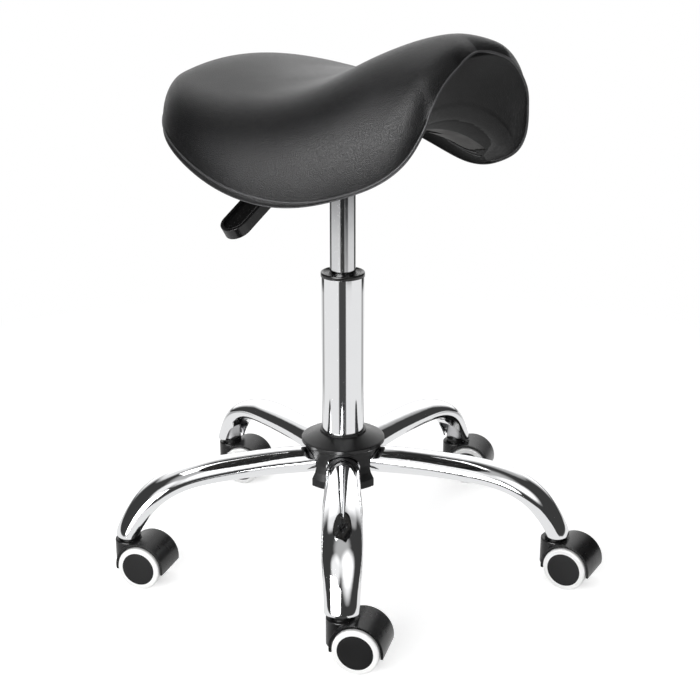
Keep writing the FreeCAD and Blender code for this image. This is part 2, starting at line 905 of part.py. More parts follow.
def make_tyre(side):
    inner = wheel_radius - tyre_thickness
    outer_face = wheel_outer_face - core_dome
    return wheel_solid([
        (wheel_inner_face, inner),
        (wheel_inner_face, wheel_radius - tyre_round),
        (wheel_inner_face + tyre_round * 0.3, wheel_radius - tyre_round * 0.3),
        (wheel_inner_face + tyre_round, wheel_radius),
        (outer_face - tyre_round, wheel_radius),
        (outer_face - tyre_round * 0.3, wheel_radius - tyre_round * 0.3),
        (outer_face, wheel_radius - tyre_round),
        (outer_face, inner)], side)


def make_wheel_core(side):
    """Wheel with a blind bore for the axle and a slightly domed outer disc."""
    rim = wheel_radius - tyre_thickness
    bore = axle_radius + running_gap
    disc_inner = wheel_end_bore() - 2.0
    return wheel_solid([
        (wheel_inner_face, bore),
        (wheel_inner_face, core_hub_radius),
        (disc_inner, core_hub_radius),
        (disc_inner, rim - core_rim),
        (wheel_inner_face, rim - core_rim),
        (wheel_inner_face, rim),
        (wheel_outer_face - core_dome, rim),
        (wheel_outer_face - core_dome * 0.4, rim * 0.8),
        (wheel_outer_face, rim * 0.4),
        (wheel_outer_face, 0),
        (wheel_end_bore(), 0),
        (wheel_end_bore(), bore)], side)


def placed_caster(shape, index):
    """Caster piece turned to its trail direction and carried to its leg."""
    copy = turned(shape, caster_trail_angles[index])
    angle = math.radians(leg_angle(index))
    copy.translate(V(stem_circle_radius * math.cos(angle), stem_circle_radius * math.sin(angle), 0))
    return copy


def save_base():
    outer = leg_loft(0)
    inner = leg_loft(leg_wall)
    leg = make_leg(outer, inner)
    socket = make_caster_socket(inner)
    stem = make_caster_stem()
    for index in range(leg_count):
        save("leg_" + str(index + 1), turned(leg, leg_angle(index)))
    angles = [leg_angle(index) for index in range(leg_count)]
    save("caster_sockets", Part.makeCompound([turned(socket, angle) for angle in angles]))
    save("caster_stems", Part.makeCompound([turned(stem, angle) for angle in angles]))
    save("hub_core", make_hub_core())
    save("hub_shell", make_hub_shell())
    save("hub_top_cover", make_hub_cover())


def save_casters():
    pieces = {
        "caster_hood": make_caster_hood(),
        "caster_axle": make_caster_axle(),
        "wheel_core_a": make_wheel_core(1),
        "wheel_core_b": make_wheel_core(-1),
        "tyre_a": make_tyre(1),
        "tyre_b": make_tyre(-1)}
    for name, shape in pieces.items():
        for index in range(leg_count):
            save(name + "_" + str(index + 1), placed_caster(shape, index))


def save_column():
    save("column_tube", make_column_tube())
    save("column_cap", make_column_cap())
    save("guide_sleeve", make_guide_sleeve())
    save("bearing_balls", make_bearing_balls())
    save("rod_washer", make_rod_washer())
    save("bumper", make_bumper())
    save("piston_rod", make_piston_rod())
    save("rod_clip", make_rod_clip())
    save("lift_tube", make_lift_tube())
    save("lift_guide", make_lift_guide())
    save("release_button", make_release_button())


def save_mechanism():
    bar = make_lever_bar()
    save("seat_housing", make_housing())
    save("seat_plate", make_seat_plate())
    save("seat_fasteners", make_seat_fasteners())
    save("lever_bar", bar)
    save("lever_paddle", make_lever_paddle(bar))
    save("lever_pin", make_lever_pin())


def save_seat():
    pan, foam, cover = make_seat()
    save("seat_pan", pan)
    save("seat_foam", foam)
    save("seat_cover", cover)


os.makedirs("parts", exist_ok=True)
save_base()
save_casters()
save_column()
save_mechanism()
save_seat()
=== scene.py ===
import math
from collections import namedtuple

import bpy
import numpy as np
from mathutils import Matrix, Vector


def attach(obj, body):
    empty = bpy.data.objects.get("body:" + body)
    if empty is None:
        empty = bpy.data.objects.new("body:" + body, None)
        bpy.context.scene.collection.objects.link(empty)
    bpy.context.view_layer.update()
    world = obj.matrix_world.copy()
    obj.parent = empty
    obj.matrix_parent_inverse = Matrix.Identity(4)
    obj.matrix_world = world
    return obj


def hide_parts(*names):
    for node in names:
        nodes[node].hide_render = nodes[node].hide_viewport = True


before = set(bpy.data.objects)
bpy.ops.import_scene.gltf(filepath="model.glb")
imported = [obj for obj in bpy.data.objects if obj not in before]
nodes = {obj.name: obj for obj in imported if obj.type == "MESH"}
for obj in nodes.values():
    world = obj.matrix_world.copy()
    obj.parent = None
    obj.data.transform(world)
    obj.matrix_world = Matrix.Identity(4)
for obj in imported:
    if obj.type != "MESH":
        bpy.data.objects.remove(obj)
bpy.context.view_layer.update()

scene = bpy.context.scene

# The seat is laid out in millimetres as (place, across, height): place runs from the rear to the front,
# across runs from the left, which is -X, to the right, which is +X, and the front points to -Y.
MM = 0.001
PLATE_TOP = 515.0

# Seat stations from rear to front: place and half width at the seam, heights of the seam, the crown and
# the underside above the seat plate, crown radius, draw-in of the side in degrees, height of the boxing
Station = namedtuple("Station", "place half seam crown under radius draw_in boxing")
STATIONS = tuple(Station(*row) for row in (
    (-206.0, 12.0, 27.0, 30.0, 21.5, 50.0, 0.0, 7.5),
    (-203.0, 34.0, 27.0, 36.5, 22.0, 130.0, 0.0, 7.5),
    (-196.0, 61.0, 26.0, 46.0, 22.0, 205.0, 0.0, 7.5),
    (-182.0, 89.0, 22.0, 58.0, 19.0, 255.0, 0.0, 7.5),
    (-155.0, 125.0, 13.5, 68.0, 12.0, 340.0, 0.0, 7.5),
    (-115.0, 157.0, 0.0, 67.5, 3.0, 430.0, 0.0, 7.5),
    (-60.0, 176.0, -20.0, 61.0, 0.0, 465.0, 0.0, 7.5),
    (-5.0, 178.0, -38.0, 60.5, 0.0, 430.0, 0.0, 7.5),
    (45.0, 166.0, -47.5, 70.5, 0.0, 350.0, 3.0, 7.0),
    (90.0, 148.0, -46.5, 91.0, 5.0, 330.0, 6.0, 4.0),
    (125.0, 130.5, -36.5, 105.0, 15.0, 320.0, 9.0, 2.5),
    (155.0, 115.0, -21.0, 110.5, 31.0, 280.0, 9.0, 2.5),
    (175.0, 101.0, 0.0, 106.0, 42.0, 250.0, 9.0, 2.5),
    (188.0, 84.0, 37.0, 96.0, 52.0, 92.0, 3.0, 2.5),
))
# Where the front seam lies across the nose: half width and place
NOSE_LINE = ((0.0, 183.0), (18.0, 187.0), (43.0, 192.5), (78.0, 190.0), (84.0, 188.0), (200.0, 188.0))
# From this place on, the nose is drawn to that line
NOSE_FROM = 130.0

# Front panel: place and half width, heights of its edge and its middle above the plate, side radius
PanelStation = namedtuple("PanelStation", "place half edge crown corner")
PANEL = tuple(PanelStation(*row) for row in (
    (70.0, 155.0, -56.5, -44.0, 8.0),
    (85.0, 149.0, -51.5, -29.0, 9.5),
    (100.0, 142.0, -46.5, -15.0, 11.5),
    (115.0, 135.0, -41.5, -2.0, 13.5),
    (130.0, 127.0, -37.0, 12.0, 19.5),
    (145.0, 119.0, -29.0, 32.0, 32.0),
    (160.0, 111.0, -18.5, 57.0, 49.5),
    (175.0, 100.0, -2.5, 78.5, 56.0),
    (190.0, 80.0, 40.5, 94.5, 40.0),
))
# The panel meets the underside from PANEL_FROM to PANEL_ONLY and takes up its width over PANEL_BLEND
PANEL_FROM = 80.0
PANEL_BLEND = 15.0
PANEL_ONLY = 150.0

# Underside: inset from the seam, least rise, and the side radius as a share of the rise, which falls
# from the middle of the seat to CORNER_FALL_TO
UNDER_INSET = 1.0
UNDER_LEAST_RISE = 1.0
CORNER_SHARE = 0.6
CORNER_SHARE_FALL = 0.4
CORNER_FALL_TO = 90.0

# Counts: rows along the seat, points over half its width, rows and points over half the underside,
# and points on an arc before they are evened out
ROWS = 110
HALF = 44
UNDER_ROWS = 600
FINE = 90
ARC_POINTS = 200


# Curves

def spline(known, values, wanted):
    """Natural cubic spline through rows of values."""
    known = np.asarray(known, float)
    values = np.asarray(values, float)
    shape = values.shape[1:]
    flat = values.reshape(len(known), -1)
    count = len(known)
    gap = np.diff(known)
    matrix = np.zeros((count, count))
    right = np.zeros((count, flat.shape[1]))
    matrix[0, 0] = matrix[-1, -1] = 1.0
    for i in range(1, count - 1):
        matrix[i, i - 1] = gap[i - 1]
        matrix[i, i] = 2.0 * (gap[i - 1] + gap[i])
        matrix[i, i + 1] = gap[i]
        right[i] = 6.0 * ((flat[i + 1] - flat[i]) / gap[i] - (flat[i] - flat[i - 1]) / gap[i - 1])
    curve = np.linalg.solve(matrix, right)
    wanted = np.asarray(wanted, float)
    at = np.clip(np.searchsorted(known, wanted, side="right") - 1, 0, count - 2)
    width = gap[at][:, None]
    before = (known[at + 1] - wanted)[:, None]
    after = (wanted - known[at])[:, None]
    result = (curve[at] * before ** 3 + curve[at + 1] * after ** 3) / (6.0 * width)
    result += (flat[at] / width - curve[at] * width / 6.0) * before
    result += (flat[at + 1] / width - curve[at + 1] * width / 6.0) * after
    return result.reshape((len(wanted),) + shape)


def lengths(points):
    """Running length along a polyline."""
    steps = np.linalg.norm(np.diff(points, axis=0), axis=1)
    return np.concatenate([[0.0], np.cumsum(steps)])


def even(points, count):
    """The same polyline with evenly spaced points."""
    run = lengths(points)
    wanted = np.linspace(0.0, run[-1], count)
    return np.stack([np.interp(wanted, run, points[:, axis]) for axis in range(points.shape[1])], 1)


def half_arch(half, base, top, radius, draw_in, count):
    """Points (across, height) from the crown to the foot of an arch of two tangent arcs."""
    slope = math.radians(draw_in)
    across = np.array([math.cos(slope), -math.sin(slope)])
    foot = np.array([half, base])
    centre = np.array([0.0, top - radius])
    reach = foot - centre
    side = (reach @ reach - radius ** 2) / (2.0 * (reach @ across - radius))
    side_centre = foot - across * side
    towards = side_centre - centre
    towards = towards / np.linalg.norm(towards)
    if side > radius:
        towards = -towards
    join = side_centre + towards * side
    angles = np.linspace(math.pi / 2.0, math.atan2(join[1] - centre[1], join[0]), ARC_POINTS)
    crown = centre + radius * np.stack([np.cos(angles), np.sin(angles)], 1)
    begin = math.atan2(join[1] - side_centre[1], join[0] - side_centre[0])
    finish = math.atan2(foot[1] - side_centre[1], foot[0] - side_centre[0])
    turn = (finish - begin + math.pi) % (2.0 * math.pi) - math.pi
    angles = np.linspace(begin, begin + turn, ARC_POINTS)
    flank = side_centre + side * np.stack([np.cos(angles), np.sin(angles)], 1)
    return even(np.concatenate([crown, flank[1:]]), count)


def corner_arch(half, base, top, corner, count):
    """Half arch with an upright foot, from the radius of its side arc."""
    rise = top - base
    radius = (half ** 2 + rise ** 2 - 2.0 * half * corner) / (2.0 * (rise - corner))
    return half_arch(half, base, top, radius, 0.0, count)


def top_section(station, count):
    """Right half of the padded top's section at a station."""
    seam = PLATE_TOP + station.seam
    return half_arch(station.half, seam, PLATE_TOP + station.crown, station.radius, station.draw_in, count)


def under_section(station, count):
    """Right half of the underside's section at a station."""
    base = PLATE_TOP + station.seam - station.boxing
    top = max(PLATE_TOP + station.under, base + UNDER_LEAST_RISE)
    forward = min(max(station.place / CORNER_FALL_TO, 0.0), 1.0)
    corner = (CORNER_SHARE - CORNER_SHARE_FALL * forward) * (top - base)
    return corner_arch(station.half - UNDER_INSET, base, top, corner, count)


def at_place(place, half):
    """Points (across, height) as points (place, across, height)."""
    return np.concatenate([np.full((len(half), 1), place), half], 1)


def sections(section, count):
    """The right half of a section at every station."""
    return np.array([at_place(station.place, section(station, count)) for station in STATIONS])


def row_places():
    """Running length along the seam from station to station."""
    return lengths(np.array([[station.place, station.half, station.seam] for station in STATIONS]))


def along_seat(values, count):
    """Values at the stations, splined to evenly spaced rows."""
    known = row_places()
    return spline(known, values, np.linspace(known[0], known[-1], count))


def mirrored(right):
    """Whole rows from their right halves."""
    left = right[:, :0:-1].copy()
    left[:, :, 1] *= -1.0
    return np.concatenate([left, right], 1)


def nose_place(across):
    """Place of the front seam."""
    table = np.array(NOSE_LINE)
    return np.interp(np.abs(across), table[:, 0], table[:, 1])


def shaped_rows(rows):
    """Rows with the nose drawn to the line of the front seam."""
    rows = rows.copy()
    end = STATIONS[-1].place
    weight = np.clip((rows[:, :, 0] - NOSE_FROM) / (end - NOSE_FROM), 0.0, 1.0)
    weight = weight * weight * (3.0 - 2.0 * weight)
    rows[:, :, 0] += (nose_place(rows[:, :, 1]) - end) * weight
    return rows


def to_frame(points):
    """From (place, across, height) in millimetres to the frame in metres, as one list of points."""
    flat = np.asarray(points, float).reshape(-1, 3)
    return np.stack([flat[:, 1], -flat[:, 0], flat[:, 2]], 1) * MM


# Meshes

def add_mesh(name, points, faces, body, smooth=True):
    """A new mesh piece, riding on a body if one is named."""
    mesh = bpy.data.meshes.new(name)
    mesh.from_pydata([tuple(p) for p in points], [], [tuple(f) for f in faces])
    mesh.update()
    if smooth:
        mesh.polygons.foreach_set("use_smooth", [True] * len(mesh.polygons))
    piece = bpy.data.objects.new(name, mesh)
    scene.collection.objects.link(piece)
    if body:
        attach(piece, body)
    return piece


def grid(rows, columns, closed=False):
    """Four-sided faces over rows of points, joined round to the first row if closed."""
    faces = []
    last = rows if closed else rows - 1
    for i in range(last):
        for j in range(columns - 1):
            a = i * columns + j
            b = ((i + 1) % rows) * columns + j
            faces.append((a, a + 1, b + 1, b))
    return faces


def subdivide(piece, level=1):
    """Smooth a piece by subdividing it."""
    modifier = piece.modifiers.new("smooth", "SUBSURF")
    modifier.levels = level
    modifier.render_levels = level


def lathe(name, profile, body, steps=128):
    """Turned piece about Z from (radius, height) in millimetres."""
    points = []
    for i in range(steps):
        angle = 2.0 * math.pi * i / steps
        for radius, height in profile:
            points.append((radius * math.cos(angle) * MM, radius * math.sin(angle) * MM, height * MM))
    return add_mesh(name, points, grid(steps, len(profile), True), body)


def tube(name, points, radius, body, cyclic=False):
    """Round cord with its radius and its points in metres."""
    curve = bpy.data.curves.new(name, "CURVE")
    curve.dimensions = "3D"
    curve.bevel_depth = 1.0
    curve.bevel_resolution = 4
    line = curve.splines.new("POLY")
    line.points.add(len(points) - 1)
    for knot, point in zip(line.points, points):
        knot.co = (point[0], point[1], point[2], 1.0)
        knot.radius = radius
    line.use_cyclic_u = cyclic
    piece = bpy.data.objects.new(name, curve)
    scene.collection.objects.link(piece)
    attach(piece, body)
    return piece


# Node trees

class Tree:
    """Short names for building a node tree."""

    def __init__(self, tree):
        self.tree = tree

    def add(self, kind, **settings):
        node = self.tree.nodes.new(kind)
        for key, value in settings.items():
            setattr(node, key, value)
        return node

    def put(self, node, socket, value):
        node.inputs[socket].default_value = value

    def link(self, source, target):
        self.tree.links.new(source, target)

    def maths(self, operation, first, second):
        """An operation on two numbers or outputs."""
        node = self.add("ShaderNodeMath", operation=operation)
        for value, target in zip((first, second), node.inputs):
            if isinstance(value, float):
                target.default_value = value
            else:
                self.link(value, target)
        return node.outputs[0]

    def span(self, value, low, high, to_low, to_high, easing="LINEAR"):
        """A value carried over from one range to another and held at its ends."""
        node = self.add("ShaderNodeMapRange", interpolation_type=easing)
        ends = {"From Min": low, "From Max": high, "To Min": to_low, "To Max": to_high}
        for socket, number in ends.items():
            self.put(node, socket, number)
        self.link(value, node.inputs["Value"])
        return node.outputs["Result"]

    def spot(self, direction, towards, inner, outer, strength):
        """Strength within inner degrees of a direction, fading to nothing at outer degrees."""
        near = self.add("ShaderNodeVectorMath", operation="DOT_PRODUCT")
        self.link(direction, near.inputs[0])
        self.put(near, 1, towards)
        low = math.cos(math.radians(outer))
        high = math.cos(math.radians(inner))
        return self.span(near.outputs["Value"], low, high, 0.0, strength, "SMOOTHSTEP")

    def seen_white(self, paths):
        """1 for rays that come from the camera or through a clear piece."""
        return self.maths("MAXIMUM", paths.outputs["Is Camera Ray"], paths.outputs["Is Transmission Ray"])


class Surface(Tree):
    """A material with its principled shader."""

    def __init__(self, name):
        self.material = bpy.data.materials.new(name)
        self.material.use_nodes = True
        super().__init__(self.material.node_tree)
        self.shader = self.tree.nodes["Principled BSDF"]
        self.output = self.tree.nodes["Material Output"]

    def place(self):
        return self.add("ShaderNodeTexCoord").outputs["Object"]

    def noise(self, scale, detail, roughness=0.5, vector=None, output="Fac"):
        node = self.add("ShaderNodeTexNoise")
        self.put(node, "Scale", scale)
        self.put(node, "Detail", detail)
        self.put(node, "Roughness", roughness)
        self.link(vector or self.place(), node.inputs["Vector"])
        return node.outputs[output]

    def cells(self, scale, vector):
        """Distance from the middle of the nearest cell."""
        node = self.add("ShaderNodeTexVoronoi", feature="F1")
        self.put(node, "Scale", scale)
        self.link(vector, node.inputs["Vector"])
        return node.outputs["Distance"]

    def colour(self, factor, first, second):
        """Base colour between two colours."""
        node = self.add("ShaderNodeMix", data_type="RGBA")
        self.link(factor, node.inputs["Factor"])
        self.put(node, "A", (*first, 1.0))
        self.put(node, "B", (*second, 1.0))
        self.link(node.outputs["Result"], self.shader.inputs["Base Color"])

    def plus(self, first, second, weight):
        """The first value plus the weighted second one."""
        node = self.add("ShaderNodeMath", operation="MULTIPLY_ADD")
        self.link(second, node.inputs[0])
        self.put(node, 1, weight)
        self.link(first, node.inputs[2])
        return node.outputs[0]

    def bump(self, height, strength, distance, rounding=0.0):
        """Relief of the surface, with its edges rounded by a radius in metres."""
        node = self.add("ShaderNodeBump")
        self.put(node, "Strength", strength)
        self.put(node, "Distance", distance)
        self.link(height, node.inputs["Height"])
        if rounding > 0.0:
            edge = self.add("ShaderNodeBevel", samples=4)
            self.put(edge, "Radius", rounding)
            self.link(edge.outputs["Normal"], node.inputs["Normal"])
        self.link(node.outputs["Normal"], self.shader.inputs["Normal"])


# Materials

def leather(name, dark, light, rough_low, rough_high, grain=1000.0, depth=0.0003):
    """Leather with a pebbled grain: grain in cells per metre, depth of the relief in metres."""
    made = Surface(name)
    blotches = made.noise(scale=14.0, detail=4.0)
    made.colour(made.span(blotches, 0.35, 0.65, 0.0, 1.0), dark, light)
    warp = 0.0012  # metres by which the cells are pushed out of line
    warped = made.add("ShaderNodeVectorMath", operation="MULTIPLY_ADD")
    made.link(made.noise(scale=260.0, detail=2.0, output="Color"), warped.inputs[0])
    made.put(warped, 1, (warp, warp, warp))
    made.link(made.place(), warped.inputs[2])
    pebbles = made.cells(grain, warped.outputs[0])
    creases = made.noise(scale=grain * 2.2, detail=2.0)
    made.bump(made.plus(made.span(pebbles, 0.0, 0.7, 1.0, 0.0), creases, 0.35), 0.7, depth)
    worn = made.span(made.noise(scale=9.0, detail=3.0), 0.3, 0.7, rough_low, rough_high)
    made.link(made.plus(worn, pebbles, 0.12), made.shader.inputs["Roughness"])
    made.put(made.shader, "Specular IOR Level", 0.25)
    return made.material


def plastic(name, colour, rough, grain=900.0, strength=0.25, rounding=0.0005, specular=0.5):
    """Moulded plastic, rubber or paint with a fine grain."""
    made = Surface(name)
    lighter = tuple(min(1.0, part * 1.25 + 0.004) for part in colour)
    made.colour(made.noise(scale=30.0, detail=3.0), colour, lighter)
    handled = made.noise(scale=45.0, detail=4.0)
    made.link(made.span(handled, 0.3, 0.7, rough - 0.05, rough + 0.07), made.shader.inputs["Roughness"])
    made.bump(made.noise(scale=grain, detail=2.0), strength, 0.00012, rounding)
    made.put(made.shader, "Specular IOR Level", specular)
    return made.material


def metal(name, colour, rough, brushed=None, rounding=0.0005):
    """Polished metal, or metal brushed along the axes by these stretches."""
    made = Surface(name)
    made.put(made.shader, "Metallic", 1.0)
    darker = tuple(part * 0.95 for part in colour)
    made.colour(made.noise(scale=18.0, detail=3.0), colour, darker)
    smears = made.noise(scale=60.0, detail=5.0)
    made.link(made.span(smears, 0.35, 0.7, rough, rough * 1.6 + 0.01), made.shader.inputs["Roughness"])
    if brushed:
        stretch = made.add("ShaderNodeMapping")
        made.put(stretch, "Scale", brushed)
        made.link(made.place(), stretch.inputs["Vector"])
        scratches = made.noise(scale=60.0, detail=3.0, roughness=0.6, vector=stretch.outputs["Vector"])
        made.bump(scratches, 0.25, 0.00008, rounding)
    else:
        made.bump(made.noise(scale=22.0, detail=2.0), 0.12, 0.00025, rounding)
    return made.material


BLACK = (0.003, 0.003, 0.0032)
SATIN_BLACK = (0.004, 0.004, 0.0042)
CHROME = (0.86, 0.865, 0.875)

seat_leather = leather("seat_leather", (0.0035, 0.0035, 0.0038), (0.006, 0.006, 0.0064), 0.30, 0.38)
panel_leather = leather("panel_leather", BLACK, (0.005, 0.005, 0.0053), 0.34, 0.42)
# Leather for the piping, the rolled edge and the hem folds, much lighter than the seat's: a painted
# highlight along these thin edges
piping_painted_highlight = leather(
    "piping_painted_highlight", (0.05, 0.05, 0.052), (0.07, 0.07, 0.072), 0.26, 0.34, grain=900.0, depth=0.0002)
hem_cloth = leather(
    "hem_cloth", (0.004, 0.004, 0.004), (0.007, 0.007, 0.007), 0.60, 0.70, grain=800.0, depth=0.0002)
chrome_leg = metal("chrome_leg", CHROME, 0.035)
chrome_column = metal("chrome_column", CHROME, 0.05)
chrome_lift = metal("chrome_lift", (0.72, 0.725, 0.735), 0.09)
inner_steel = metal("inner_steel", (0.5, 0.5, 0.51), 0.28, brushed=(1.0, 1.0, 30.0))
hub_plastic = plastic("hub_plastic", BLACK, 0.40, specular=0.3)
cover_plastic = plastic("cover_plastic", SATIN_BLACK, 0.30, strength=0.12, specular=0.45)
cap_plastic = plastic("cap_plastic", SATIN_BLACK, 0.24, strength=0.12)
guide_plastic = plastic("guide_plastic", (0.6, 0.6, 0.57), 0.4)
caster_plastic = plastic("caster_plastic", BLACK, 0.26, strength=0.15, rounding=0.0008, specular=0.35)
wheel_plastic = plastic("wheel_plastic", BLACK, 0.42, strength=0.3, specular=0.22)
tread_white = plastic("tread_white", (0.86, 0.86, 0.85), 0.45, strength=0.15, rounding=0.0004)
buffer_rubber = plastic("buffer_rubber", (0.02, 0.02, 0.02), 0.7)
mechanism_paint = plastic("mechanism_paint", (0.012, 0.012, 0.012), 0.38, grain=500.0, strength=0.35)
lever_plastic = plastic("lever_plastic", BLACK, 0.22, strength=0.12, rounding=0.0012)
pan_wood = plastic("pan_stain", (0.02, 0.018, 0.016), 0.65, grain=300.0, strength=0.5)


# Solids that keep their shape

def paint(name, material):
    """Give a solid its material in every place it has for one."""
    mesh = nodes[name].data
    if not mesh.materials:
        mesh.materials.append(material)
    for index in range(len(mesh.materials)):
        mesh.materials[index] = material


for i in range(1, 6):
    paint(f"leg_{i}", chrome_leg)
    paint(f"caster_hood_{i}", caster_plastic)
    paint(f"caster_axle_{i}", inner_steel)
    for side in "ab":
        paint(f"wheel_core_{side}_{i}", wheel_plastic)
        paint(f"tyre_{side}_{i}", tread_white)
for material, names in (
        (inner_steel, ("caster_sockets", "caster_stems", "hub_core", "bearing_balls", "rod_washer",
                       "piston_rod", "rod_clip", "seat_fasteners", "lever_pin", "release_button")),
        (hub_plastic, ("hub_shell",)),
        (cover_plastic, ("hub_top_cover",)),
        (chrome_column, ("column_tube",)),
        (cap_plastic, ("column_cap",)),
        (guide_plastic, ("guide_sleeve", "lift_guide")),
        (buffer_rubber, ("bumper",)),
        (chrome_lift, ("lift_tube",)),
        (mechanism_paint, ("seat_housing", "seat_plate", "lever_bar")),
        (lever_plastic, ("lever_paddle",)),
        (pan_wood, ("seat_pan",))):
    for name in names:
        paint(name, material)


def dress(piece, material):
    """Give a new piece its material."""
    piece.data.materials.append(material)


# Seat top
rows = shaped_rows(mirrored(along_seat(sections(top_section, HALF), ROWS)))
COLUMNS = rows.shape[1]
seat_top = add_mesh("seat_top", to_frame(rows), grid(ROWS, COLUMNS), "seat")
subdivide(seat_top)
dress(seat_top, seat_leather)
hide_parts("seat_cover", "seat_foam")

# Piping along the seam: the right side to the nose, over the nose, back along the left side, round the
# rear; its lighter leather colour is a painted highlight
PIPING_RADIUS = 1.25
PIPING_DROP = 1.0
PIPING_POINTS = 400
right_side = rows[:, -1]
left_side = rows[:, 0]
nose_row = rows[-1, ::-1]
rear_row = rows[0]
seam = np.concatenate([right_side, nose_row[1:-1], left_side[::-1], rear_row[1:-1]])
seam = even(np.concatenate([seam, seam[:1]]), PIPING_POINTS + 1)[:-1]
for _ in range(2):
    seam = (np.roll(seam, 1, 0) + 2.0 * seam + np.roll(seam, -1, 0)) / 4.0
seam = seam + np.array([0.0, 0.0, -PIPING_DROP])
piping = tube("seat_piping", to_frame(seam), PIPING_RADIUS * MM, "seat", cyclic=True)
dress(piping, piping_painted_highlight)

# Boxing strips below the seam
STRIP_ROWS = 5
STRIP_GAP = 0.3
STRIP_BULGE = 0.8
boxing = along_seat(np.array([[station.boxing] for station in STATIONS]), ROWS)[:, 0]
for name, line, depth, bulge in (
        ("left", left_side, boxing, -STRIP_BULGE),
        ("right", right_side, boxing, STRIP_BULGE),
        ("rear", rear_row, boxing[0], 0.0)):
    strip_rows = []
    for share in np.linspace(0.0, 1.0, STRIP_ROWS):
        lower = line.copy()
        lower[:, 1] += bulge * math.sin(math.pi * share)
        lower[:, 2] -= depth * share + STRIP_GAP
        strip_rows.append(lower)
    strip = add_mesh(f"seat_boxing_{name}", to_frame(strip_rows), grid(STRIP_ROWS, len(line)), "seat")
    dress(strip, panel_leather)


# Underside: the swept-back front panel, the crease and the hem turned under the seat

# Softness of the crease, how far it is sunk, and the limit on how far the panel counts as in front
CREASE_SOFTNESS = 1.2
CREASE_SINK = 0.4
AHEAD_LIMIT = 30.0
# The underside lies this far below the solids up to PANEL_ONLY
UNDER_DROP = 0.8
# The hem: its width, and the places in front of which and behind which it covers everything
HEM_WIDTH = 26.0
HEM_FRONT = 108.0
HEM_REAR = -178.0
# Rows of the bottom, as runs from one place to another with a count of rows, closest at the crease
BOTTOM_RUNS = ((-203.0, 76.0, 90), (78.0, 160.0, 60), (161.5, 187.0, 26))

panel_places = np.array([station.place for station in PANEL])
panel_arches = np.array([
    corner_arch(station.half, PLATE_TOP + station.edge, PLATE_TOP + station.crown, station.corner, FINE)
    for station in PANEL])
under_rows = along_seat(sections(under_section, FINE), UNDER_ROWS)
under_places = under_rows[:, 0, 0]


def under_arch_at(place):
    """Right half of the underside (across, height) at a place."""
    index = int(np.clip(np.searchsorted(under_places, place), 1, len(under_places) - 1))
    before, after = under_places[index - 1], under_places[index]
    share = min(max((place - before) / (after - before), 0.0), 1.0)
    return (under_rows[index - 1] * (1.0 - share) + under_rows[index] * share)[:, 1:]


def bottom_row(place):
    """Right half of the seat's bottom at a place, and how far the panel lies in front of the underside."""
    under = under_arch_at(place)
    if place < PANEL_FROM:
        return at_place(place, under), np.zeros(FINE)
    panel = spline(panel_places, panel_arches, np.array([place]))[0]
    share = min(max((place - PANEL_FROM) / PANEL_BLEND, 0.0), 1.0)
    across = under[:, 0] * (1.0 - share) + panel[:, 0] * share
    low = np.interp(across, under[:, 0], under[:, 1])
    high = np.interp(across, panel[:, 0], panel[:, 1])
    ahead = np.clip((high - low) / CREASE_SOFTNESS, -AHEAD_LIMIT, AHEAD_LIMIT)
    height = low + CREASE_SOFTNESS * np.log1p(np.exp(ahead)) - CREASE_SINK
    if place > PANEL_ONLY:
        height = high
    return np.stack([np.full(FINE, place), across, height], 1), ahead


bottom_places = np.concatenate([np.linspace(*run) for run in BOTTOM_RUNS])
halves, half_ahead = zip(*[bottom_row(place) for place in bottom_places])
front_end = even(nose_row[COLUMNS // 2:], FINE)
front_end[:, 1] = np.abs(front_end[:, 1])
bottom = mirrored(np.array([*halves, front_end]))
half_ahead = np.array([*half_ahead, np.full(FINE, AHEAD_LIMIT)])
ahead = np.concatenate([half_ahead[:, :0:-1], half_ahead], 1)
steps = np.linalg.norm(np.diff(bottom, axis=1), axis=2)
run = np.concatenate([np.zeros((len(bottom), 1)), np.cumsum(steps, 1)], 1)
from_edge = np.minimum(run, run[:, -1:] - run)
bottom[:, :, 2] -= UNDER_DROP * (bottom[:, :, 0] < PANEL_ONLY)

panel_faces = []
hem_faces = []
corner_values = np.stack([bottom[:, :, 0], from_edge, ahead], 2).reshape(-1, 3)
for face in grid(*bottom.shape[:2]):
    place, edge, front = corner_values[list(face)].mean(0)
    if place > PANEL_ONLY or (place > PANEL_FROM and front > 0.0):
        panel_faces.append(face)
    elif edge < HEM_WIDTH or place > HEM_FRONT or place < HEM_REAR:
        hem_faces.append(face)
panel = add_mesh("seat_front_panel", to_frame(bottom), panel_faces, "seat")
subdivide(panel)
dress(panel, panel_leather)
hem = add_mesh("seat_hem", to_frame(bottom), hem_faces, "seat")
dress(hem, hem_cloth)

# Rolled edge below the boxing, from one end of the nose round the rear to the other, in the lighter leather
# whose colour is a painted highlight along the edge
ROLL_RADIUS = 0.8
ROLL_DROP = 0.6
ROLL_INSET = 0.5
ROLL_POINTS = 360


def rolled(line, depth, inset):
    """A line of the seam moved down to the foot of the boxing and inwards."""
    lower = line.copy()
    lower[:, 1] -= inset
    lower[:, 2] -= ROLL_DROP
    lower[:, 2] -= depth
    return lower


roll_left = rolled(left_side, boxing, -ROLL_INSET)
roll_right = rolled(right_side, boxing, ROLL_INSET)
roll_rear = rolled(rear_row, boxing[0], 0.0)
roll_line = even(np.concatenate([roll_left[:1:-1], roll_rear[1:-1], roll_right[2:]]), ROLL_POINTS)
roll = tube("seat_edge_roll", to_frame(roll_line), ROLL_RADIUS * MM, "seat")
dress(roll, piping_painted_highlight)
